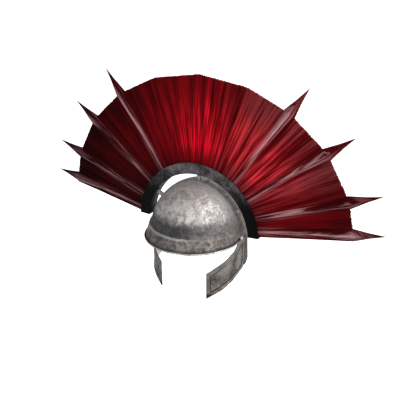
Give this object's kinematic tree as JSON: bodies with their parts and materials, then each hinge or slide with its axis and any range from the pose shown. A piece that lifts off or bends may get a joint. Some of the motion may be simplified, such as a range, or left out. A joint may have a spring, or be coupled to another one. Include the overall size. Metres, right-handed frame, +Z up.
{
  "type": "roman legionary helmet",
  "caption": "Iron helmet with a flared brow, neck guard, two hinged cheek guards and a tall red side-to-side hair crest with pointed locks.",
  "frame": {"origin": "middle of the head opening, level with the brow rim, where a head holds the helmet, in the crest's own plane", "axes": "+Z up, the wearer faces -Y, and +X is the helmet's left, along the crest"},
  "size_m": [0.7894, 0.2588, 0.4525],
  "materials": {
    "bowl_iron": "hammered and burnished iron, mottled and darker under the crown",
    "guard_iron": "hammered iron, brown-grey, brighter on the raised border",
    "box_iron": "blackened iron with worn, lighter edges",
    "fitting_iron": "plain forged iron",
    "crest_hair": "stiff dyed horsehair in fine radial strands, with a soft sheen on the locks"
  },
  "bodies": {
    "helmet": {"bowl": "bowl_iron", "crest_box": "box_iron", "crest_post_top": "fitting_iron", "crest_post_left": "fitting_iron", "crest_post_right": "fitting_iron", "crest": "crest_hair", "hinge_leaf_left": "fitting_iron", "hinge_leaf_right": "fitting_iron", "hinge_pin_left": "fitting_iron", "hinge_pin_right": "fitting_iron"},
    "left_guard": {"cheek_guard_left": "guard_iron"},
    "right_guard": {"cheek_guard_right": "guard_iron"}
  },
  "joints": [
    {"name": "left_guard_hinge", "type": "hinge", "parent": "helmet", "child": "left_guard", "pos_m": [0.09695, 0.00565, 0.0023], "axis": [0, -1, 0], "range_deg": [-20, 90]},
    {"name": "right_guard_hinge", "type": "hinge", "parent": "helmet", "child": "right_guard", "pos_m": [-0.09695, 0.00565, 0.0023], "axis": [0, 1, 0], "range_deg": [-20, 90]}
  ]
}
